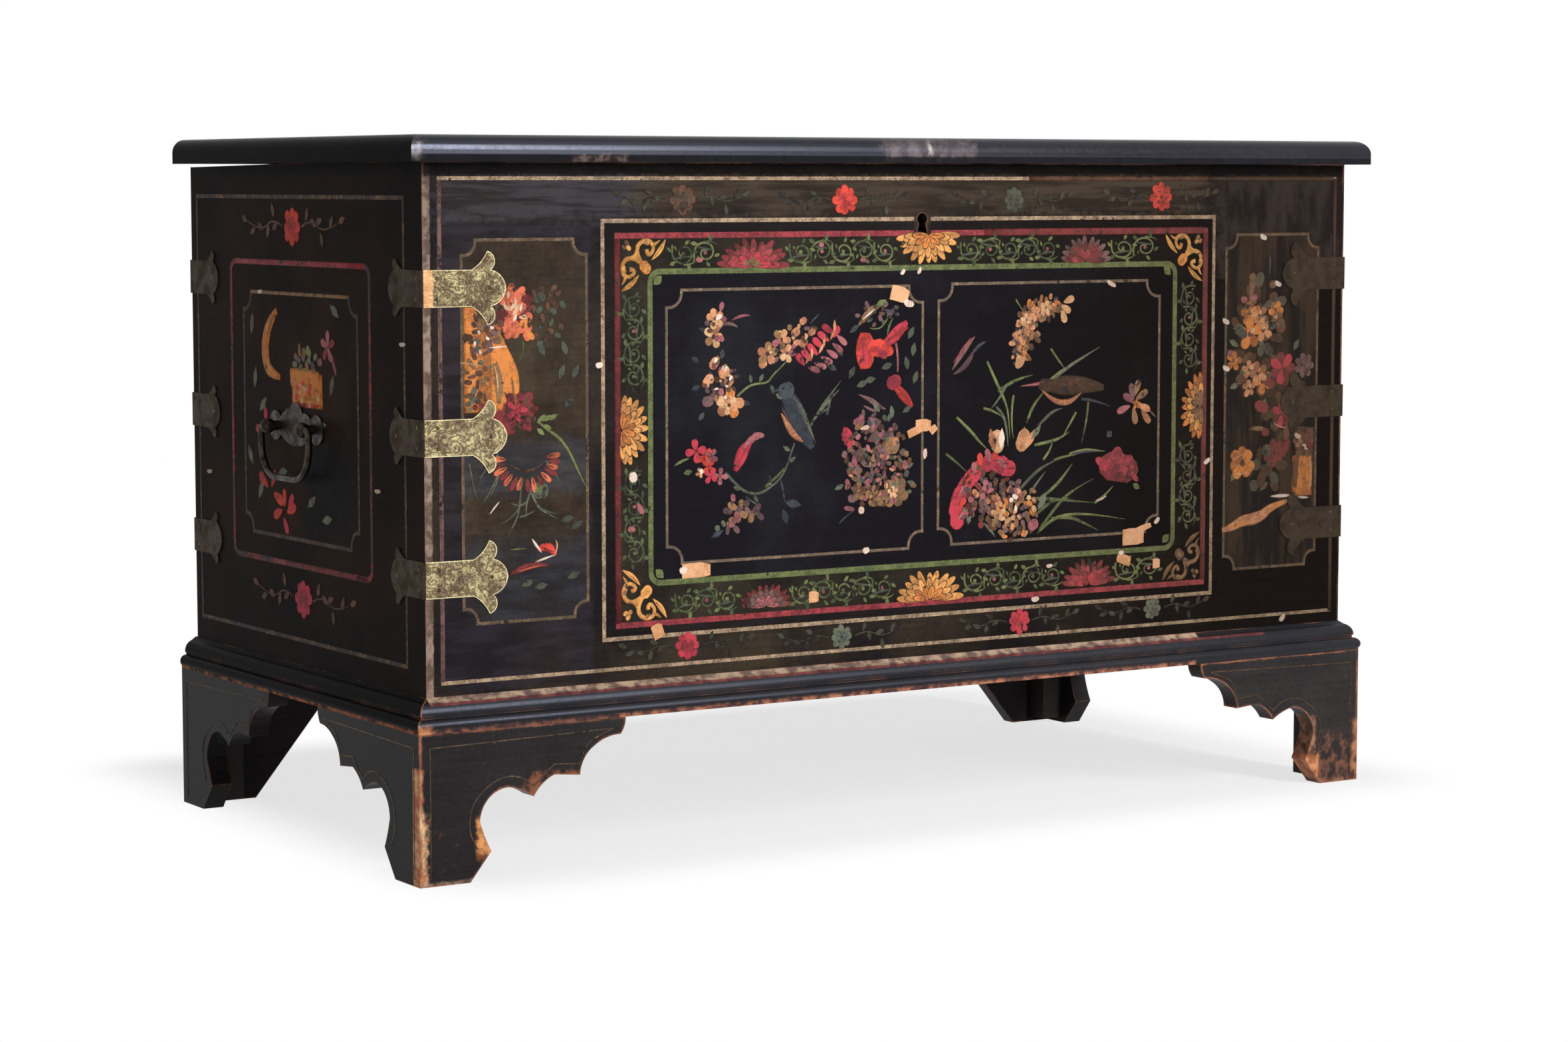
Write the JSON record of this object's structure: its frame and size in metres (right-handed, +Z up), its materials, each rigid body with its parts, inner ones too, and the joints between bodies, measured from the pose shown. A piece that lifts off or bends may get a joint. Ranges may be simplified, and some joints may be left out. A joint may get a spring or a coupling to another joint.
{
  "type": "lift-lid storage chest on bracket feet",
  "caption": "Lift-lid storage chest in worn black lacquer on scalloped bracket feet, with painted ornament, brass corner straps, end bail handles and a lock.",
  "frame": {"origin": "bottom centre of the whole chest, on the floor", "axes": "+X along the front from the left end to the right end, +Y from the front to the back, +Z up"},
  "size_m": [1.0376, 0.5096, 0.6265],
  "materials": {
    "black_lacquer": "aged black lacquer over wood, satin gloss, worn to orange-brown wood on the arrises",
    "bare_wood": "bare planed wood, darkened with age",
    "engraved_brass": "thin engraved sheet brass, dull pale gold with brown tarnish",
    "brass_pins": "small cast brass pins",
    "hinge_brass": "plain brass, tarnished",
    "screw_steel": "dull steel screws",
    "lock_iron": "dark forged iron",
    "handle_bronze": "dark worn bronze"
  },
  "bodies": {
    "case": {"back_board": "black_lacquer", "bottom_board": "bare_wood", "front_board": "black_lacquer", "front_left_bottom_strap": "engraved_brass", "front_left_foot_front_bracket": "black_lacquer", "front_left_foot_side_bracket": "black_lacquer", "front_left_glue_block": "bare_wood", "front_left_middle_strap": "engraved_brass", "front_left_top_strap": "engraved_brass", "front_plinth_moulding": "black_lacquer", "front_right_bottom_strap": "engraved_brass", "front_right_foot_front_bracket": "black_lacquer", "front_right_foot_side_bracket": "black_lacquer", "front_right_glue_block": "bare_wood", "front_right_middle_strap": "engraved_brass", "front_right_top_strap": "engraved_brass", "handle_nuts": "handle_bronze", "hinge_case_screws": "screw_steel", "left_end_board": "black_lacquer", "left_handle_plate": "handle_bronze", "left_handle_posts": "handle_bronze", "left_hinge_case_leaf": "hinge_brass", "left_hinge_pin": "hinge_brass", "left_plinth_moulding": "black_lacquer", "lock_cap": "lock_iron", "lock_case": "lock_iron", "lock_screws": "screw_steel", "rear_left_bottom_strap": "engraved_brass", "rear_left_foot_back_bracket": "black_lacquer", "rear_left_foot_side_bracket": "black_lacquer", "rear_left_glue_block": "bare_wood", "rear_left_middle_strap": "engraved_brass", "rear_left_top_strap": "engraved_brass", "rear_plinth_rail": "black_lacquer", "rear_right_bottom_strap": "engraved_brass", "rear_right_foot_back_bracket": "black_lacquer", "rear_right_foot_side_bracket": "black_lacquer", "rear_right_glue_block": "bare_wood", "rear_right_middle_strap": "engraved_brass", "rear_right_top_strap": "engraved_brass", "right_end_board": "black_lacquer", "right_handle_plate": "handle_bronze", "right_handle_posts": "handle_bronze", "right_hinge_case_leaf": "hinge_brass", "right_hinge_pin": "hinge_brass", "right_plinth_moulding": "black_lacquer", "strap_pins": "brass_pins"},
    "lid": {"hinge_lid_screws": "screw_steel", "left_hinge_lid_leaf": "hinge_brass", "lid_board": "black_lacquer", "lid_front_moulding": "black_lacquer", "lid_left_moulding": "black_lacquer", "lid_right_moulding": "black_lacquer", "lock_strike": "lock_iron", "right_hinge_lid_leaf": "hinge_brass", "strike_screws": "screw_steel"},
    "lock_bolt": {"lock_bolt": "lock_iron"},
    "left_bail": {"left_bail": "handle_bronze"},
    "right_bail": {"right_bail": "handle_bronze"}
  },
  "joints": [
    {"name": "lid_hinge", "type": "hinge", "parent": "case", "child": "lid", "pos_m": [0, 0.24722, 0.6025], "axis": [-1, 0, 0], "range_deg": [0, 100]},
    {"name": "lock_bolt_slide", "type": "slide", "parent": "case", "child": "lock_bolt", "axis": [1, 0, 0], "range_m": [0, 0.01]},
    {"name": "left_bail_swing", "type": "hinge", "parent": "case", "child": "left_bail", "pos_m": [-0.512, 0.01322, 0.37], "axis": [0, 1, 0], "range_deg": [-8, 165]},
    {"name": "right_bail_swing", "type": "hinge", "parent": "case", "child": "right_bail", "pos_m": [0.512, 0.01322, 0.37], "axis": [0, -1, 0], "range_deg": [-8, 165]}
  ]
}
